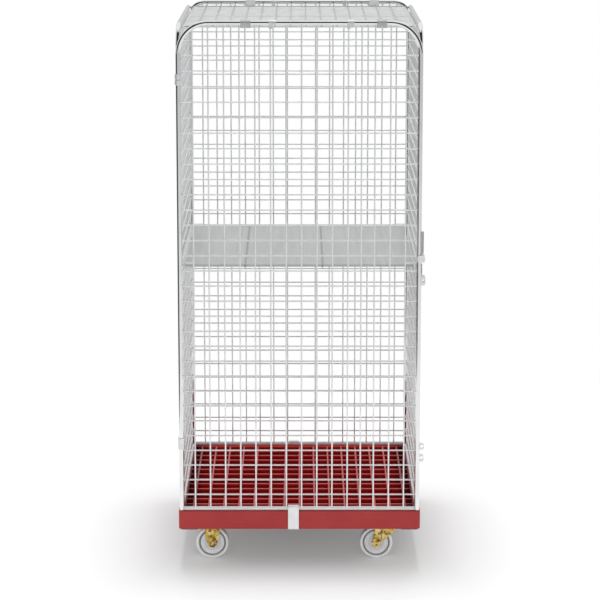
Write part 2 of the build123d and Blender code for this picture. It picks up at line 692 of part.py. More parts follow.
eye_plate("door_padlock_eye", DOOR_EYE_Y, PADLOCK_EYE, -PANEL_Y)
eye_plate("frame_padlock_eye", FRAME_EYE_Y, PADLOCK_EYE, -SIDE_Y)
eye_plate("door_catch_eye", DOOR_EYE_Y, DOOR_CATCH_EYE, -PANEL_Y)
eye_plate("frame_catch_eye", FRAME_EYE_Y, FRAME_CATCH_EYE, -SIDE_Y)


def caster_plate_sketch(x, y):
    """Outline of a caster's top plate with its four bolt holes, on the current sketch plane."""
    with Locations((x, y)):
        RectangleRounded(PLATE_X, PLATE_Y, PLATE_CORNER_R)
        with GridLocations(BOLT_SPACING_X, BOLT_SPACING_Y, 2, 2):
            Circle(BOLT_HOLE_R, mode=Mode.SUBTRACT)


def fixed_fork(label, y):
    """Pressed fork of a fixed caster: top plate and two legs that narrow at a knee above the axle."""
    x = -CASTER_X
    with BuildPart() as fork:
        with BuildSketch(Plane.XY.offset(PLATE_BOTTOM)):
            caster_plate_sketch(x, y)
        extrude(amount=PLATE_T)
        for leg_y in (y + LEG_IN + LEG_T, y - LEG_IN):
            with BuildSketch(Plane.XZ.offset(-leg_y)):
                with Locations((x, AXLE_Z)):
                    Circle(LEG_END_R)
                Polygon(
                    (x - FIXED_LEG_TOP / 2, PLATE_BOTTOM),
                    (x + FIXED_LEG_TOP / 2, PLATE_BOTTOM),
                    (x + FIXED_LEG_KNEE / 2, FIXED_LEG_KNEE_Z),
                    (x + LEG_END_R, AXLE_Z),
                    (x - LEG_END_R, AXLE_Z),
                    (x - FIXED_LEG_KNEE / 2, FIXED_LEG_KNEE_Z),
                    align=None,
                )
                with Locations((x, AXLE_Z)):
                    Circle(AXLE_R + AXLE_GAP, mode=Mode.SUBTRACT)
            extrude(amount=LEG_T)
    finish(fork, label)


def swivel_top_plate(label, y):
    """Top plate of a swivel caster with the skirted upper ball race."""
    with BuildPart() as plate:
        with BuildSketch(Plane.XY.offset(PLATE_BOTTOM)):
            caster_plate_sketch(CASTER_X, y)
        extrude(amount=PLATE_T)
        with BuildSketch(Plane.XY.offset(RACE_CEILING)):
            with Locations((CASTER_X, y)):
                Circle(RACE_R)
        extrude(amount=PLATE_BOTTOM - RACE_CEILING)
        with BuildSketch(Plane.XY.offset(RACE_BOTTOM)):
            with Locations((CASTER_X, y)):
                Circle(RACE_R)
                Circle(RACE_R - RACE_SKIRT, mode=Mode.SUBTRACT)
        extrude(amount=RACE_CEILING - RACE_BOTTOM)
        with BuildSketch(Plane.XY.offset(RACE_CEILING)):
            with Locations((CASTER_X, y)):
                Circle(KING_PIN_R + AXLE_GAP)
        extrude(amount=BASE_BOTTOM - RACE_CEILING, mode=Mode.SUBTRACT)
    finish(plate, label)


def swivel_fork(label, y):
    """Fork of a swivel caster: crown with the lower race, yoke and two legs that trail to the left.

    Each leg is a strip down to the axle with a pierced gusset beside it, pressed inwards by a step.
    """
    axle_x = CASTER_X - TRAIL
    strip_edge = axle_x + LEG_END_R
    front_edge = CASTER_X + YOKE_FRONT
    with BuildPart() as fork:
        with BuildSketch(Plane.XY.offset(YOKE_TOP)):
            with Locations((CASTER_X, y)):
                Circle(CROWN_R)
        extrude(amount=CROWN_TOP - YOKE_TOP)
        with BuildSketch(Plane.XY.offset(YOKE_BOTTOM)):
            with Locations((CASTER_X - YOKE_BACK, y)):
                Rectangle(
                    YOKE_BACK + YOKE_FRONT, 2 * (LEG_IN + LEG_STEP + LEG_T), align=(Align.MIN, Align.CENTER)
                )
        extrude(amount=YOKE_TOP - YOKE_BOTTOM)
        for leg_y in (y + LEG_IN + LEG_STEP + LEG_T, y - LEG_IN - LEG_STEP):
            with BuildSketch(Plane.XZ.offset(-leg_y)):
                with Locations((axle_x, AXLE_Z)):
                    Circle(LEG_END_R)
                Polygon(
                    (CASTER_X - YOKE_BACK, YOKE_TOP),
                    (strip_edge, YOKE_TOP),
                    (strip_edge, AXLE_Z),
                    (axle_x - LEG_END_R, AXLE_Z),
                    align=None,
                )
                with Locations((axle_x, AXLE_Z)):
                    Circle(AXLE_R + AXLE_GAP, mode=Mode.SUBTRACT)
            extrude(amount=LEG_T)
        for gusset_y in (y + LEG_IN + LEG_T, y - LEG_IN):
            with BuildSketch(Plane.XZ.offset(-gusset_y)):
                Polygon(
                    (strip_edge - LEG_T, YOKE_TOP),
                    (front_edge, YOKE_TOP),
                    (front_edge, YOKE_TOP - 20),
                    (strip_edge + 10, AXLE_Z + 10),
                    (strip_edge - LEG_T, AXLE_Z),
                    align=None,
                )
                Polygon(
                    (strip_edge, YOKE_TOP - 7),
                    (strip_edge + 5.5, YOKE_TOP - 7),
                    (strip_edge + 3, AXLE_Z + 12),
                    (strip_edge, AXLE_Z + 12),
                    align=None,
                    mode=Mode.SUBTRACT,
                )
                with Locations((strip_edge + 21, AXLE_Z + 34)):
                    Circle(GUSSET_HOLE_R, mode=Mode.SUBTRACT)
            extrude(amount=LEG_T)
        with BuildSketch(Plane.XY.offset(YOKE_BOTTOM)):
            with Locations((CASTER_X, y)):
                Circle(KING_PIN_R + AXLE_GAP)
        extrude(amount=CROWN_TOP - YOKE_BOTTOM, mode=Mode.SUBTRACT)
    finish(fork, label)


def axle_bolt(label, x, y, face):
    """Axle bolt of a caster with its head and nut on the legs' outer faces, face from its middle."""
    with BuildPart() as axle:
        with BuildSketch(Plane.XZ.offset(-y)):
            with Locations((x, AXLE_Z)):
                Circle(AXLE_R)
        extrude(amount=face, both=True)
        for start in (-y + face, -y - face - AXLE_HEAD):
            with BuildSketch(Plane.XZ.offset(start)):
                with Locations((x, AXLE_Z)):
                    RegularPolygon(AXLE_HEAD_R, 6)
            extrude(amount=AXLE_HEAD)
    finish(axle, label)


def wheel(label, x, y):
    """Wheel hub with a grooved disc face, and the rounded tyre on it."""
    spin = Axis((x, y, AXLE_Z), (0, 1, 0))
    half_hub = [(16.5, AXLE_R + AXLE_GAP), (16.5, 10), (13, 12.5), (12, 36), (7, 37.5), (7, TYRE_INNER_R)]
    half_tyre = [(13, TYRE_INNER_R), (TYRE_HALF, 43), (TYRE_HALF, 46), (13.6, 48.6), (10.5, WHEEL_R)]
    for part_name, half in (("hub", half_hub), ("tyre", half_tyre)):
        with BuildPart() as turned:
            with BuildSketch(Plane.YZ.offset(x)):
                with Locations((y, AXLE_Z)):
                    Polygon(*half, *[(-w, r) for w, r in reversed(half)], align=None)
            revolve(axis=spin)
        finish(turned, f"{label}_{part_name}")


# Casters: fixed on the left, swivelling on the right
for end, y in (("front", -CASTER_Y), ("rear", CASTER_Y)):
    fixed_fork(f"left_{end}_fork", y)
    axle_bolt(f"left_{end}_axle", -CASTER_X, y, LEG_IN + LEG_T)
    wheel(f"left_{end}_wheel", -CASTER_X, y)
    swivel_top_plate(f"right_{end}_top_plate", y)
    swivel_fork(f"right_{end}_fork", y)
    axle_bolt(f"right_{end}_axle", CASTER_X - TRAIL, y, LEG_IN + LEG_STEP + LEG_T)
    wheel(f"right_{end}_wheel", CASTER_X - TRAIL, y)

with BuildPart() as king_pins:
    with BuildSketch(Plane.XY.offset(YOKE_BOTTOM - KING_NUT)):
        with Locations((CASTER_X, -CASTER_Y), (CASTER_X, CASTER_Y)):
            RegularPolygon(KING_NUT_R, 6)
    extrude(amount=KING_NUT - FREE_GAP)
    with BuildSketch(Plane.XY.offset(YOKE_BOTTOM - FREE_GAP)):
        with Locations((CASTER_X, -CASTER_Y), (CASTER_X, CASTER_Y)):
            Circle(KING_PIN_R)
    extrude(amount=BASE_BOTTOM - YOKE_BOTTOM + FREE_GAP)
finish(king_pins, "king_pins")

with BuildPart() as swivel_balls:
    ball_z = RACE_CEILING - BALL_R - 0.4
    with Locations((CASTER_X, -CASTER_Y, ball_z), (CASTER_X, CASTER_Y, ball_z)):
        with PolarLocations(BALL_RING_R, BALL_COUNT):
            Sphere(BALL_R)
finish(swivel_balls, "swivel_balls")

with BuildPart() as caster_bolts:
    with BuildSketch(Plane.XY.offset(PLATE_BOTTOM - BOLT_HEAD)):
        with GridLocations(2 * CASTER_X, 2 * CASTER_Y, 2, 2):
            with GridLocations(BOLT_SPACING_X, BOLT_SPACING_Y, 2, 2):
                RegularPolygon(BOLT_HEAD_R, 6)
    extrude(amount=BOLT_HEAD)
    with BuildSketch(Plane.XY.offset(PLATE_BOTTOM)):
        with GridLocations(2 * CASTER_X, 2 * CASTER_Y, 2, 2):
            with GridLocations(BOLT_SPACING_X, BOLT_SPACING_Y, 2, 2):
                Circle(BOLT_R)
    extrude(amount=PLATE_T + BOLT_REACH)
finish(caster_bolts, "caster_bolts")
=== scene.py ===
# %% [markdown]
# # A security roll container
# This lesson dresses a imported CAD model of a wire-mesh roll container. The solids already have the right
# shapes and sizes, so they stay, and the work here is in their finishes, in the weld nuggets that a drawing
# leaves out, and in the light. Every length is in metres, +Z is up, the door faces -Y, and +X is to the right
# seen from the door.

# %% Load the fixed frame
import math

import bpy
import numpy as np
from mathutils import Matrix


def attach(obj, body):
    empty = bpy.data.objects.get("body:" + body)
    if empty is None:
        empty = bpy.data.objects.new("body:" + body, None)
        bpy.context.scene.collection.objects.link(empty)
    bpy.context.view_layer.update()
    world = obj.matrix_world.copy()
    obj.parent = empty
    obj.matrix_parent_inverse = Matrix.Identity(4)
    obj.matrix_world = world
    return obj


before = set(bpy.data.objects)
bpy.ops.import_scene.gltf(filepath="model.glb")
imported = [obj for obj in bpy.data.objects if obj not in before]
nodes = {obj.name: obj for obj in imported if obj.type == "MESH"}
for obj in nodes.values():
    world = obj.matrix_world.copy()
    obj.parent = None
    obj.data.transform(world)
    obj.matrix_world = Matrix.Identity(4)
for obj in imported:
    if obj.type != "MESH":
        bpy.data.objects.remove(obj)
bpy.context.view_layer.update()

# %% [markdown]
# ## Camera
# The picture was taken from the front, from above the lid and some eight metres away, with a long lens. A
# camera object takes its place and its turn directly, so no constraint is needed: a turn of 90 degrees about
# X looks level along +Y, and a little less looks down.

# %% Camera
EYE = (0.0017, -7.7227, 2.2434)
LOOK_DOWN = math.radians(10.977)
LENS_MM, SENSOR_MM = 151.73, 36
FAR_CLIP = 200

camera_data = bpy.data.cameras.new("front_camera")
camera_data.sensor_width = SENSOR_MM
camera_data.lens = LENS_MM
camera_data.clip_end = FAR_CLIP
camera = bpy.data.objects.new("front_camera", camera_data)
camera.location = EYE
camera.rotation_euler = (math.pi / 2 - LOOK_DOWN, 0, 0)
bpy.context.scene.collection.objects.link(camera)
bpy.context.scene.camera = camera
bpy.context.scene.view_settings.view_transform = "Standard"
print("camera at", EYE, "looking down", round(math.degrees(LOOK_DOWN), 1), "degrees")

# %% [markdown]
# ## Small tools for node materials
# Blender's shader nodes are added and wired one call at a time. A few helpers keep the later cells short: one
# adds a node and sets or links its inputs by name, one starts a material with a single shader, and the rest
# wrap the nodes that most finishes use. A value that is the same all over is set on the shader's own socket,
# and only what varies is linked.


# %% Helpers that start a material
def add_node(tree, kind, inputs=None, **properties):
    """Add a shader node, set its properties, and set or link its inputs by name or number."""
    node = tree.nodes.new(kind)
    for name, value in properties.items():
        setattr(node, name, value)
    for name, value in (inputs or {}).items():
        if isinstance(value, bpy.types.NodeSocket):
            tree.links.new(value, node.inputs[name])
        else:
            node.inputs[name].default_value = value
    return node


def start_material(name, **sockets):
    """A new material with one Principled shader whose plain sockets are set here."""
    material = bpy.data.materials.new(name)
    material.use_nodes = True
    shader = material.node_tree.nodes["Principled BSDF"]
    for socket, value in sockets.items():
        shader.inputs[socket.replace("_", " ")].default_value = value
    return material, material.node_tree, shader


def object_point(tree, scale=(1, 1, 1)):
    """Object coordinates of the piece, stretched by scale, as a socket."""
    place = add_node(tree, "ShaderNodeTexCoord")
    mapping = add_node(tree, "ShaderNodeMapping", {"Vector": place.outputs["Object"], "Scale": scale})
    return mapping.outputs["Vector"]


print("material helpers ready")


# %% Helpers that vary a value
def noise(tree, point, scale, detail=3.0, rough=0.5):
    """Soft noise at a point, as a socket from 0 to 1."""
    inputs = {"Vector": point, "Scale": scale, "Detail": detail, "Roughness": rough}
    return add_node(tree, "ShaderNodeTexNoise", inputs).outputs["Fac"]


def ramp(tree, fac, stops):
    """Colour ramp over (place, colour) stops, as a colour socket."""
    node = add_node(tree, "ShaderNodeValToRGB", {"Fac": fac})
    elements = node.color_ramp.elements
    while len(elements) < len(stops):
        elements.new(0.5)
    for element, (place, colour) in zip(elements, stops):
        element.position = place
        element.color = (*colour, 1)
    return node.outputs["Color"]


def mix_colour(tree, fac, under, over):
    """Blend a colour socket towards a colour or a colour socket by a factor socket, as a colour socket.

    The mix node keeps sockets for every kind of value; 6 and 7 are its colours, and 2 is its colour output.
    """
    if not isinstance(over, bpy.types.NodeSocket):
        over = (*over, 1)
    return add_node(tree, "ShaderNodeMix", {0: fac, 6: under, 7: over}, data_type="RGBA").outputs[2]


def math_node(tree, operation, first, second=0.0):
    """One arithmetic step on sockets or numbers, as a value socket."""
    return add_node(tree, "ShaderNodeMath", {0: first, 1: second}, operation=operation).outputs[0]


def between(tree, fac, low, high, start=0.0, end=1.0):
    """Map a socket from start to end onto low to high, as a value socket held inside them."""
    inputs = {"Value": fac, "From Min": start, "From Max": end, "To Min": low, "To Max": high}
    return add_node(tree, "ShaderNodeMapRange", inputs).outputs["Result"]


def bump(tree, shader, height, strength, distance):
    """Give the shader a bump from a height socket, with distance in metres."""
    node = add_node(tree, "ShaderNodeBump", {"Height": height, "Strength": strength, "Distance": distance})
    tree.links.new(node.outputs["Normal"], shader.inputs["Normal"])


print("pattern helpers ready")

# %% [markdown]
# ## Bright zinc
# The tubes and wires are electroplated with bright zinc. On the tubes it is a near mirror with a faint blue
# cast, slightly cloudy from the plating bath. The wires, rails and bent strips are duller, because a thin
# white film has grown on them. A metallic shader gives the mirror, and a metallic share below one mixes in
# the plain white of the film. A soft noise clouds the colour and the roughness, specks of a finer noise stand
# for the dull spots of handling, and a still finer noise gives a bump that breaks up long straight
# reflections, which would look like glass otherwise. The lid's upper wires, above the height where the two
# layers of wire meet, are darker, fully metallic and smoother. The straps and clips that hold the lid are
# dull.

# %% Zinc
CLOUD_SHADE, SPECK_SHADE = 0.90, 0.60
SPECK_SCALE, SPECK_RANGE = 160.0, (0.62, 0.75)
GRAIN_SCALE, GRAIN_DEPTH = 900.0, 0.0002
CLOUDY_ROUGH, CLEAR_ROUGH = 1.35, 0.75
UPPER_LAYER_SHADE, UPPER_LAYER_ROUGH = 0.72, 0.45


def shade(colour, share):
    """A colour with each of its parts multiplied by a share."""
    return tuple(share * part for part in colour)


def zinc_finish(name, colour, rough, cloud_scale, speck=0.25, metal=1.0, upper_layer_from=None):
    """Zinc with a metallic share, clouded in colour and roughness, with darker dull specks.

    Above the height upper_layer_from, if one is given, the colour is darker and the metal fully metallic and
    smoother.
    """
    material, tree, shader = start_material(name, Metallic=metal)
    point = object_point(tree)
    cloud = noise(tree, point, cloud_scale)
    specks = between(tree, noise(tree, point, SPECK_SCALE, 2.0), 0.0, speck, *SPECK_RANGE)
    cloudy = ramp(tree, cloud, [(0.3, shade(colour, CLOUD_SHADE)), (0.7, colour)])
    rough_cloud = between(tree, cloud, rough * CLOUDY_ROUGH, rough * CLEAR_ROUGH)
    if upper_layer_from is not None:
        height = add_node(tree, "ShaderNodeSeparateXYZ", {0: point}).outputs["Z"]
        upper_layer = math_node(tree, "GREATER_THAN", height, upper_layer_from)
        cloudy = mix_colour(tree, upper_layer, cloudy, shade(colour, UPPER_LAYER_SHADE))
        rough_cloud = math_node(tree, "MULTIPLY", rough_cloud, between(tree, upper_layer, 1.0, UPPER_LAYER_ROUGH))
        tree.links.new(between(tree, upper_layer, metal, 1.0), shader.inputs["Metallic"])
    speckled = mix_colour(tree, specks, cloudy, shade(colour, SPECK_SHADE))
    tree.links.new(speckled, shader.inputs["Base Color"])
    tree.links.new(math_node(tree, "ADD", rough_cloud, specks), shader.inputs["Roughness"])
    bump(tree, shader, noise(tree, point, GRAIN_SCALE, 2.0), 0.12, GRAIN_DEPTH)
    return material


print("zinc specks", round(1000 / SPECK_SCALE, 1), "mm, grain", round(1000 / GRAIN_SCALE, 1), "mm")

# %% Zinc finishes
LID_WELD_Z = 1.6283

zinc_tube = zinc_finish("zinc_tube", (0.84, 0.85, 0.855), 0.07, 14.0, 0.08)
zinc_wire = zinc_finish("zinc_wire", (0.92, 0.93, 0.935), 0.30, 30.0, 0.15, 0.62)
zinc_satin = zinc_finish("zinc_satin", (0.89, 0.90, 0.905), 0.35, 30.0, 0.15, 0.45)
zinc_sheet = zinc_finish("zinc_sheet", (0.85, 0.86, 0.865), 0.30, 40.0, 0.15, 0.65)
zinc_dull = zinc_finish("zinc_dull", (0.60, 0.61, 0.615), 0.35, 60.0, 0.30, 0.65)
zinc_lid = zinc_finish("zinc_lid", (0.89, 0.90, 0.905), 0.35, 30.0, 0.15, 0.45, LID_WELD_Z)
bolt_zinc = zinc_finish("bolt_zinc", (0.66, 0.66, 0.65), 0.28, 120.0)
zincs = (zinc_tube, zinc_wire, zinc_satin, zinc_sheet, zinc_dull, zinc_lid, bolt_zinc)
print("zinc finishes", *(finish.name for finish in zincs))

# %% [markdown]
# ## Red plastic
# The roll plate is injection-moulded plastic, dark red, with a dull skin. Kerbs scuff its outside in long
# pale streaks. On the deck, painted shade darkens the pockets and a painted highlight lightens the tops of
# the long ribs and the slats, painted shadow darkens the strips along the side walls, and faces that look
# down are a darker brown, which keeps red light off the floor. The scuffs are a noise stretched along the
# wall. The painted shade and highlight are a ramp over the height, which needs no second material and follows
# the ribs exactly. The painted shadow of the strips follows the distance from the middle, and the darker
# brown follows the way a face looks. A fine noise gives the moulded skin.

# %% Red plastic
DECK_HALF_X, DECK_HALF_Y = 0.3435, 0.3895
DECK_TOP = 0.1794
# Heights of the deck ramp: painted shade low in the pockets, painted highlight at the tops of ribs and slats
PAINTED_LIGHT_FROM, PAINTED_LIGHT_TO = DECK_TOP - 0.0100, DECK_TOP + 0.0006
# Painted shadow of the side walls on the deck's outer strips, over this distance from the middle
SIDE_SHADOW_FROM, SIDE_SHADOW_TO = 0.29, 0.335
PLATE_REDS = [(0.25, (0.362, 0.043, 0.045)), (0.8, (0.428, 0.053, 0.054))]
# Deck colours by height: dark painted shade at the bottom, pale pink painted highlight at the top
DECK_SHADE_AND_HIGHLIGHT_REDS = [(0.0, (0.220, 0.005, 0.006)), (0.80, (0.400, 0.012, 0.013)),
             (0.94, (0.640, 0.036, 0.036)), (0.99, (0.800, 0.170, 0.160))]
# The first colour is for scuffs, the second is painted shadow for the deck's side strips, the third darkens
# faces that look down
SCUFF_RED, SIDE_SHADOW_RED, UNDER_BROWN = (0.52, 0.12, 0.11), (0.05, 0.003, 0.004), (0.06, 0.035, 0.03)


def red_plastic_finish():
    """Moulded red plastic: cloudy with long pale scuffs, painted shade and highlight on the deck by height,
    painted shadow along its sides, and darker down-facing faces.
    """
    material, tree, shader = start_material("red_plastic", Specular_IOR_Level=0.1)
    point = object_point(tree)
    colour = ramp(tree, noise(tree, point, 9.0, 4.0), PLATE_REDS)
    scuff = noise(tree, object_point(tree, (0.3, 1.0, 4.0)), 60.0, 5.0, 0.65)
    colour = mix_colour(tree, between(tree, scuff, 0.0, 0.35, 0.60, 0.78), colour, SCUFF_RED)
    place = add_node(tree, "ShaderNodeSeparateXYZ", {0: point})
    across, along = (math_node(tree, "ABSOLUTE", place.outputs[axis]) for axis in "XY")
    inside = math_node(tree, "MULTIPLY", math_node(tree, "LESS_THAN", across, DECK_HALF_X),
                       math_node(tree, "LESS_THAN", along, DECK_HALF_Y))
    # Painted shade in the deck's pockets and painted highlight on its tops, by height
    height = between(tree, place.outputs["Z"], 0.0, 1.0, PAINTED_LIGHT_FROM, PAINTED_LIGHT_TO)
    colour = mix_colour(tree, inside, colour, ramp(tree, height, DECK_SHADE_AND_HIGHLIGHT_REDS))
    # Painted shadow of the side walls along the deck's outer strips
    side_shadow = math_node(tree, "MULTIPLY", inside, between(tree, across, 0.0, 0.75, SIDE_SHADOW_FROM, SIDE_SHADOW_TO))
    colour = mix_colour(tree, side_shadow, colour, SIDE_SHADOW_RED)
    # Faces that look down are a darker brown, which keeps red light off the floor
    normal = add_node(tree, "ShaderNodeNewGeometry").outputs["Normal"]
    facing = add_node(tree, "ShaderNodeSeparateXYZ", {0: normal})
    under = between(tree, facing.outputs["Z"], 0.9, 0.0, -0.8, -0.3)
    colour = mix_colour(tree, under, colour, UNDER_BROWN)
    tree.links.new(colour, shader.inputs["Base Color"])
    tree.links.new(between(tree, scuff, 0.22, 0.48), shader.inputs["Roughness"])
    bump(tree, shader, noise(tree, point, 700.0, 2.0), 0.10, 0.0003)
    return material


red_plastic = red_plastic_finish()
print("plastic finish", red_plastic.name)

# %% [markdown]
# ## Shelf sheet and latch grip
# The shelf is a dull zinc-grey sheet with faint rolling streaks from front to back and painted shade along
# two pressed grooves. The latch grip is dipped in black plastic with grooves across it for the fingers. The
# streaks are a noise stretched along Y, the painted shade darkens what is near two lines, and the grip's
# grooves are a band texture along Z that only drives the bump.

# %% Shelf finish
# Two grooves are pressed into the sheet; the dark grey near them is painted shade
SHELF_GROOVES = (-0.160, 0.068)
GROOVE_SHADE_HALF, GROOVE_SHADE_FADE = 0.0015, 0.0045
SHELF_GREYS = [(0.3, (0.465, 0.475, 0.470)), (0.7, (0.522, 0.532, 0.527))]
GROOVE_SHADE_GREY = (0.20, 0.205, 0.20)


def shelf_finish():
    """Dull sheet: two greys that drift in long streaks along Y, with painted shade along two grooves and a
    sparkling roughness.
    """
    material, tree, shader = start_material("shelf_grey", Metallic=0.35)
    point = object_point(tree)
    streak = noise(tree, object_point(tree, (1.0, 0.04, 1.0)), 70.0, 4.0)
    spangle = noise(tree, point, 220.0, 2.0)
    greys = ramp(tree, streak, SHELF_GREYS)
    across = add_node(tree, "ShaderNodeSeparateXYZ", {0: point}).outputs["X"]
    # Painted shade along each groove
    for groove_x in SHELF_GROOVES:
        off = math_node(tree, "ABSOLUTE", math_node(tree, "SUBTRACT", across, groove_x))
        greys = mix_colour(tree, between(tree, off, 0.55, 0.0, GROOVE_SHADE_HALF, GROOVE_SHADE_FADE), greys, GROOVE_SHADE_GREY)
    tree.links.new(greys, shader.inputs["Base Color"])
    tree.links.new(between(tree, spangle, 0.42, 0.60), shader.inputs["Roughness"])
    bump(tree, shader, spangle, 0.15, 0.0002)
    return material


shelf_grey = shelf_finish()
print("sheet finish", shelf_grey.name, "with", len(SHELF_GROOVES), "shaded_grooves")

# %% Grip finish
GRIP_BLACKS = [(0.3, (0.010, 0.010, 0.011)), (0.7, (0.022, 0.022, 0.023))]
GROOVE_SCALE, GROOVE_DEPTH = 52.0, 0.001


def grip_finish():
    """Black dipped plastic with finger grooves every 6 mm along its height."""
    material, tree, shader = start_material("black_grip", Specular_IOR_Level=0.15)
    point = object_point(tree)
    cloud = noise(tree, point, 60.0, 4.0)
    tree.links.new(ramp(tree, cloud, GRIP_BLACKS), shader.inputs["Base Color"])
    tree.links.new(between(tree, cloud, 0.58, 0.40), shader.inputs["Roughness"])
    wave = {"Vector": point, "Scale": GROOVE_SCALE}
    grooves = add_node(tree, "ShaderNodeTexWave", wave, bands_direction="Z")
    bump(tree, shader, grooves.outputs["Fac"], 0.5, GROOVE_DEPTH)
    return material


black_grip = grip_finish()
print("grip finish", black_grip.name)

# %% [markdown]
# ## Casters
# The pressed forks are passivated to a yellow that drifts to green and pink, with dark stains. The wheels are
# grey plastic with a paler grey rubber tyre, with painted shade in the groove between them and dirt at the
# tread. A wheel is round about its axle, so its greys are a ramp over the distance from the axle. The left
# and the right wheels stand at two places along X, as far to each side of a middle, so one formula serves all
# four.

# %% Fork finish
FORK_YELLOWS = [(0.28, (0.38, 0.29, 0.07)), (0.45, (0.74, 0.50, 0.12)), (0.6, (0.96, 0.76, 0.34)),
                (0.75, (0.64, 0.37, 0.13))]
STAIN_BROWN = (0.16, 0.09, 0.025)


def yellow_zinc_finish():
    """Yellow passivated zinc: gold that drifts to green and pink, with small dark stains."""
    material, tree, shader = start_material("yellow_zinc", Metallic=1.0)
    point = object_point(tree)
    drift = noise(tree, point, 45.0, 3.0)
    stain = between(tree, noise(tree, point, 95.0, 2.0), 0.0, 0.9, 0.50, 0.60)
    colour = mix_colour(tree, stain, ramp(tree, drift, FORK_YELLOWS), STAIN_BROWN)
    tree.links.new(colour, shader.inputs["Base Color"])
    tree.links.new(between(tree, drift, 0.38, 0.24), shader.inputs["Roughness"])
    bump(tree, shader, noise(tree, point, 500.0, 2.0), 0.2, 0.0004)
    return material


yellow_zinc = yellow_zinc_finish()
print("fork finish", yellow_zinc.name)

# %% Wheel finishes
WHEEL_R = 0.05
AXLE_MIDDLE, AXLE_SPREAD = -0.0155, 0.2495
# The hub stops at 0.735 and 0.78 are painted shade in the groove between hub and tyre
HUB_RINGS_AND_GROOVE_SHADE = [(0.40, 0.76), (0.46, 0.60), (0.50, 0.80), (0.70, 0.82), (0.735, 0.34), (0.78, 0.26)]
TYRE_RINGS = [(0.78, 0.70), (0.82, 0.93), (0.96, 0.93), (1.0, 0.72)]
BLUE_CAST = (1.0, 1.01, 1.03)
CLOUD_GREY, DIRT_GREY = (0.40, 0.41, 0.42), (0.16, 0.155, 0.15)


def from_axle(tree, point):
    """Distance in X and Z from the nearer axle, from 0 at its middle to 1 at the tread, as a value socket."""
    place = add_node(tree, "ShaderNodeSeparateXYZ", {0: point})
    off_middle = math_node(tree, "ABSOLUTE", math_node(tree, "SUBTRACT", place.outputs["X"], AXLE_MIDDLE))
    across = math_node(tree, "SUBTRACT", off_middle, AXLE_SPREAD)
    up = math_node(tree, "SUBTRACT", place.outputs["Z"], WHEEL_R)
    squares = (math_node(tree, "MULTIPLY", side, side) for side in (across, up))
    return math_node(tree, "DIVIDE", math_node(tree, "SQRT", math_node(tree, "ADD", *squares)), WHEEL_R)


def wheel_finish(name, rings, rough_low, rough_high, dirt):
    """Grey wheel plastic or rubber: greys in rings about the axle, with a smear over a stretched noise."""
    material, tree, shader = start_material(name)
    point = object_point(tree)
    cloud = noise(tree, point, 40.0, 4.0)
    smear = between(tree, noise(tree, object_point(tree, (1, 3, 1)), 90.0, 4.0, 0.6), 0.0, dirt, 0.52, 0.75)
    stops = [(place, shade(BLUE_CAST, grey)) for place, grey in rings]
    greys = ramp(tree, from_axle(tree, point), stops)
    greys = mix_colour(tree, between(tree, cloud, 0.12, 0.0, 0.3, 0.7), greys, CLOUD_GREY)
    tree.links.new(mix_colour(tree, smear, greys, DIRT_GREY), shader.inputs["Base Color"])
    tree.links.new(between(tree, cloud, rough_high, rough_low), shader.inputs["Roughness"])
    bump(tree, shader, noise(tree, point, 800.0, 2.0), 0.2, 0.0003)
    return material


wheel_grey = wheel_finish("wheel_grey", HUB_RINGS_AND_GROOVE_SHADE, 0.35, 0.5, 0.15)
tyre_grey = wheel_finish("tyre_grey", TYRE_RINGS, 0.55, 0.7, 0.12)
print("wheel finishes", wheel_grey.name, tyre_grey.name)

# %% [markdown]
# ## Finishes on the CAD nodes
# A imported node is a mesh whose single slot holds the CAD's flat colour. Its slot is refilled by the word in
# its name that says what it is; the first word of the list that fits is taken, and the empty word at the end
# fits what is left, which is bent sheet.

# %% Put the finishes on
FINISH_BY_WORD = [
    ("base_plate", red_plastic), ("shelf_sheet", shelf_grey), ("latch_grip", black_grip),
    ("wheel_hub", wheel_grey), ("wheel_tyre", tyre_grey),
    ("_fork", yellow_zinc), ("_top_plate", yellow_zinc), ("axle", yellow_zinc),
    ("king_pins", bolt_zinc), ("balls", bolt_zinc), ("bolts", bolt_zinc),
    ("lid_hinge_straps", zinc_dull), ("lid_keeper_clips", zinc_dull), ("lid_rests", zinc_sheet),
    ("lid_mesh", zinc_lid), ("hold_plate", zinc_satin), ("mesh", zinc_wire), ("shelf_rods", zinc_wire),
    ("frame_", zinc_sheet), ("_frame", zinc_tube), ("rail", zinc_satin), ("", zinc_sheet),
]
for name, node in nodes.items():
    finish = next(material for word, material in FINISH_BY_WORD if word in name)
    node.data.materials.clear()
    node.data.materials.append(finish)
print("finishes on", len(nodes), "nodes")

# %% [markdown]
# ## Weld nuggets
# Where two wires of a mesh cross, they are spot-welded, and a little metal squeezes out into the four corners
# of the cross. A nugget is a flattened bead with four lobes, small and repeated hundreds of times, so it has
# few faces. One bead is computed as an array, and adding the array of crossing points to it gives all the
# beads of a mesh at once, as one piece that rides with the wall.

# %% One bead
NUGGET_HALF_WIDTH, NUGGET_HALF_HEIGHT, NUGGET_LOBES = 0.0029, 0.0013, 0.22


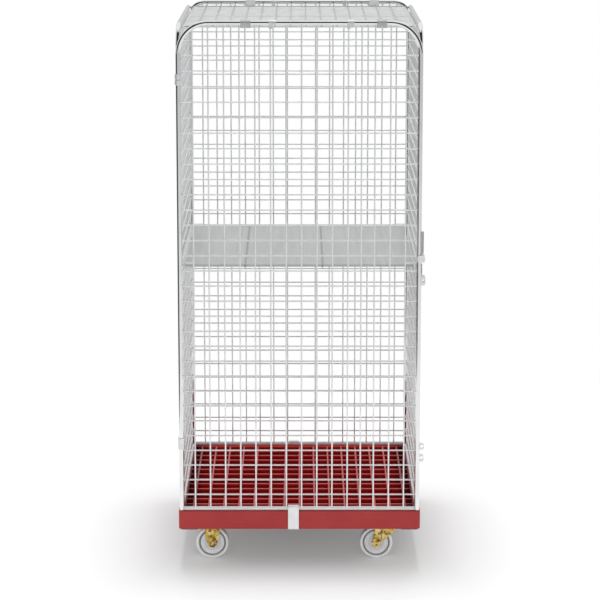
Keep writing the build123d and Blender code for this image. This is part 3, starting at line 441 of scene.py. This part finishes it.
def bead_grid(half_width, half_height, lobes, around=8, rings=3):
    """A closed bead about Z, over an angle a and a latitude b.

    Its width is half_width cos(b) times 1 + lobes cos(4a + pi), and its height is half_height sin(b).
    The first and last points are its poles and the rest are rings, so faces meet without a break.
    """
    angle = np.linspace(0, 2 * np.pi, around, endpoint=False)
    latitude = np.linspace(-np.pi / 2, np.pi / 2, rings + 2)[1:-1]
    b, a = np.meshgrid(latitude, angle, indexing="ij")
    reach = half_width * np.cos(b) * (1 + lobes * np.cos(4 * a + np.pi))
    ring_points = np.stack([reach * np.cos(a), reach * np.sin(a), half_height * np.sin(b)], -1)
    south, north = np.array([[0, 0, -half_height]]), np.array([[0, 0, half_height]])
    points = np.concatenate([south, ring_points.reshape(-1, 3), north])
    index = 1 + np.arange(rings * around).reshape(rings, around)
    after = np.roll(index, -1, 1)
    sides = np.stack([index[:-1], after[:-1], after[1:], index[1:]], -1).reshape(-1, 4)
    last = len(points) - 1
    under = np.stack([np.zeros(around, int), after[0], index[0]], -1)
    over = np.stack([np.full(around, last), index[-1], after[-1]], -1)
    return points, sides, np.concatenate([under, over])


nugget = bead_grid(NUGGET_HALF_WIDTH, NUGGET_HALF_HEIGHT, NUGGET_LOBES)
print("nugget", len(nugget[0]), "points,", len(nugget[1]) + len(nugget[2]), "faces")

# %% Where the wires cross
WIRE_PITCH, NARROW_PITCH = 0.04535, 0.039
PANEL_X, PANEL_Y = 0.352, 0.3965
FIRST_COLUMN, FIRST_ROW = -0.311, 0.2287
FIRST_SIDE_ROW = 0.2415
FIRST_LONG, LONG_PITCH, CROSS_PITCH = -0.295, 0.04485, 0.0449
WALL_ROWS = 31


def row_of(first, pitch, count):
    """Places in a row: the first plus 0, 1, 2 and so on times the pitch."""
    return first + pitch * np.arange(count)


def centred(pitch, count):
    """Places in a row about 0, a pitch apart."""
    return pitch * (np.arange(count) - (count - 1) / 2)


def crossings(first, second, fixed, order):
    """Every pair of two lists of places with a third fixed coordinate, put in the order of X, Y, Z."""
    pairs = np.meshgrid(first, second, indexing="ij")
    return np.stack([*pairs, np.full(pairs[0].shape, fixed)], -1).reshape(-1, 3)[:, list(order)]


left_columns = row_of(FIRST_COLUMN, WIRE_PITCH, 11)
right_columns = left_columns[-1] + np.cumsum([NARROW_PITCH, NARROW_PITCH, WIRE_PITCH, WIRE_PITCH])
panel_columns = np.concatenate([left_columns, right_columns])
panel = panel_columns, row_of(FIRST_ROW, WIRE_PITCH, WALL_ROWS)
side = centred(WIRE_PITCH, 16), row_of(FIRST_SIDE_ROW, WIRE_PITCH, WALL_ROWS)
lid = row_of(FIRST_LONG, LONG_PITCH, 14), centred(CROSS_PITCH, 16)
print("wires across and up: panel", *map(len, panel), "side", *map(len, side), "lid", *map(len, lid))


# %% Nuggets on the meshes
def bead_piece(name, bead, places, axes, material, body):
    """All beads of a mesh as one piece: the bead with its X, Y, Z turned to the axes, at every place."""
    points, sides, ends = bead
    turned = points @ np.array(axes, float)
    copies = (np.array(places, float)[:, None, :] + turned[None]).reshape(-1, 3)
    step = (np.arange(len(places)) * len(points))[:, None, None]
    faces = (sides + step).reshape(-1, 4).tolist() + (ends + step).reshape(-1, 3).tolist()
    mesh = bpy.data.meshes.new(name)
    mesh.from_pydata(copies, [], faces)
    mesh.shade_smooth()
    mesh.materials.append(material)
    piece = bpy.data.objects.new(name, mesh)
    bpy.context.scene.collection.objects.link(piece)
    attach(piece, body)
    print(name, len(places), "beads,", len(faces), "faces, on", body)


ALONG_Y = ((1, 0, 0), (0, 0, -1), (0, 1, 0))
ALONG_X = ((0, 1, 0), (0, 0, 1), (1, 0, 0))
ALONG_Z = ((1, 0, 0), (0, 1, 0), (0, 0, 1))
welds = (("door_welds", "door", zinc_wire, (*panel, -PANEL_Y, (0, 2, 1)), ALONG_Y),
         ("rear_welds", "container", zinc_wire, (*panel, PANEL_Y, (0, 2, 1)), ALONG_Y),
         ("left_welds", "container", zinc_wire, (*side, -PANEL_X, (2, 0, 1)), ALONG_X),
         ("right_welds", "container", zinc_wire, (*side, PANEL_X, (2, 0, 1)), ALONG_X),
         ("lid_welds", "lid", zinc_lid, (*lid, LID_WELD_Z, (0, 1, 2)), ALONG_Z))
for name, body, material, where, axes in welds:
    bead_piece(name, nugget, crossings(*where), axes, material, body)

# %% [markdown]
# ## Floor and light
# The container stands on a seamless white floor. A square softbox high above it throws a soft shadow round
# the base, a wide lamp in front lifts the side that faces the camera, and an even white room fills the rest.
# A softbox is used and not a sun, because the shadow under the base has soft edges that widen with height.
# The floor adds a little white of its own for the camera and for mirror rays alone, so that it meets the
# white room without a line, and its shadow stays.

# %% Floor
FLOOR_HALF = 2.2
FLOOR_GREY, FLOOR_LIFT = 0.80, 0.165


def grid_piece(name, points, material):
    """A mesh from an (n, m, 3) grid of points, with quads between neighbours."""
    n, m = points.shape[:2]
    index = np.arange(n * m).reshape(n, m)
    quads = np.stack([index[:-1, :-1], index[1:, :-1], index[1:, 1:], index[:-1, 1:]], -1).reshape(-1, 4)
    mesh = bpy.data.meshes.new(name)
    mesh.from_pydata(points.reshape(-1, 3), [], quads.tolist())
    mesh.materials.append(material)
    piece = bpy.data.objects.new(name, mesh)
    bpy.context.scene.collection.objects.link(piece)
    return piece


def floor_finish():
    """White floor that keeps a soft shadow and adds a little white of its own for camera and mirror rays."""
    material, tree, shader = start_material("white_floor", Roughness=1.0, Specular_IOR_Level=0.0,
                                            Base_Color=(FLOOR_GREY, FLOOR_GREY, FLOOR_GREY, 1),
                                            Emission_Color=(1, 1, 1, 1))
    ray = add_node(tree, "ShaderNodeLightPath")
    seen = math_node(tree, "MAXIMUM", ray.outputs["Is Camera Ray"], ray.outputs["Is Glossy Ray"])
    tree.links.new(between(tree, seen, 0.0, FLOOR_LIFT), shader.inputs["Emission Strength"])
    return material


ends = np.array([-FLOOR_HALF, FLOOR_HALF])
floor_grid = np.stack([*np.meshgrid(ends, ends, indexing="ij"), np.zeros((2, 2))], -1)
floor = grid_piece("floor", floor_grid, floor_finish())
print("floor", 2 * FLOOR_HALF, "m square")

# %% Lamps
TOP_WATTS, TOP_SIZE = 265.0, (1.7, 1.7)
TOP_PLACE, TOP_TARGET = (0.0, 0.5, 8.0), (0, 0, 0)
FRONT_WATTS, FRONT_SIZE = 80.0, (5.0, 2.4)
FRONT_PLACE, FRONT_TARGET = (0.0, -6.0, 1.6), (0, 0, 0.6)


def aim(lamp, target):
    """Turn a lamp so that its -Z axis points from its place to the target."""
    along_x, along_y, along_z = np.array(target, float) - np.array(lamp.location, float)
    tilt = math.atan2(math.hypot(along_x, along_y), -along_z)
    lamp.rotation_euler = (tilt, 0, math.atan2(along_x, -along_y) + math.pi)


def area_lamp(name, watts, size, place, target):
    """A lamp of a width and a height, turned to a target, and unseen by mirrors, which see the room."""
    data = bpy.data.lights.new(name, "AREA")
    data.energy = watts
    data.shape = "RECTANGLE"
    data.size, data.size_y = size
    lamp = bpy.data.objects.new(name, data)
    lamp.location = place
    aim(lamp, target)
    lamp.visible_glossy = False
    bpy.context.scene.collection.objects.link(lamp)


area_lamp("top_softbox", TOP_WATTS, TOP_SIZE, TOP_PLACE, TOP_TARGET)
area_lamp("front_lamp", FRONT_WATTS, FRONT_SIZE, FRONT_PLACE, FRONT_TARGET)
print("softbox", TOP_WATTS, "W, front lamp", FRONT_WATTS, "W")

# %% [markdown]
# ## The room that metal sees
# Bright metal is a mirror, so it looks like what stands round it. The studio here is white above, pale grey
# just below the horizon and a little grey just above it behind, dark in front where the unlit room is behind
# the camera, and dark low down on the left where a black screen stands. Patches of darkness over two angles
# are easier to place than lamps, because each one shows as a dark line along a tube. The world then answers
# three kinds of rays: the camera sees plain white, mirror rays see the studio, and all others see an even
# fill.

# %% Studio
world = bpy.data.worlds.new("white_room")
bpy.context.scene.world = world
world.use_nodes = True
room = world.node_tree
room.nodes.clear()
looking = add_node(room, "ShaderNodeTexCoord").outputs["Generated"]
x, y, z = add_node(room, "ShaderNodeSeparateXYZ", {0: looking}).outputs
turn = math_node(room, "ARCTAN2", x, math_node(room, "MULTIPLY", y, -1.0))
rise = math_node(room, "ARCSINE", z)


def slope(angle, low, high, start, end):
    """Map an angle socket from start to end degrees onto low to high."""
    return between(room, angle, low, high, math.radians(start), math.radians(end))


def span(angle, low, high, soft):
    """1 where an angle socket lies between low and high degrees, falling to 0 over soft degrees outside."""
    up, down = slope(angle, 0.0, 1.0, low - soft, low), slope(angle, 1.0, 0.0, high, high + soft)
    return math_node(room, "MULTIPLY", up, down)


def darken(value, rise_span, turn_span, depth):
    """A value socket made darker by depth inside a patch of the studio given by two spans."""
    patch = math_node(room, "MULTIPLY", rise_span, turn_span)
    return math_node(room, "MULTIPLY", value, between(room, patch, 1.0, 1.0 - depth))


unlit_front = span(rise, 1, 57, 5), span(turn, -80, 80, 20), 0.97
grey_rear = span(rise, 0, 9, 3), span(math_node(room, "ABSOLUTE", turn), 130, 180, 15), 0.35
black_screen = span(rise, -15, -5, 3), span(turn, -150, -45, 8), 0.88
studio = math_node(room, "MAXIMUM", slope(rise, 1.0, 0.55, -14, -4), slope(rise, 0.0, 1.0, -2, 1))
for patch in (unlit_front, grey_rear, black_screen):
    studio = darken(studio, *patch)
print("studio for mirror rays,", len(room.nodes), "nodes")

# %% World
ROOM_FILL = 0.68


def white_light(strength):
    """White light of a strength given by a number or a value socket, as a shader socket."""
    return add_node(room, "ShaderNodeBackground", {"Color": (1, 1, 1, 1), "Strength": strength}).outputs[0]


def choose(ray_kind, otherwise, then):
    """One of two shader sockets: then for rays of a kind, and otherwise for all others."""
    return add_node(room, "ShaderNodeMixShader", {0: ray_kind, 1: otherwise, 2: then}).outputs[0]


ray = add_node(room, "ShaderNodeLightPath")
unseen = choose(ray.outputs["Is Glossy Ray"], white_light(ROOM_FILL), white_light(studio))
answer = choose(ray.outputs["Is Camera Ray"], unseen, white_light(1.0))
add_node(room, "ShaderNodeOutputWorld", {"Surface": answer})
print("room fill", ROOM_FILL)
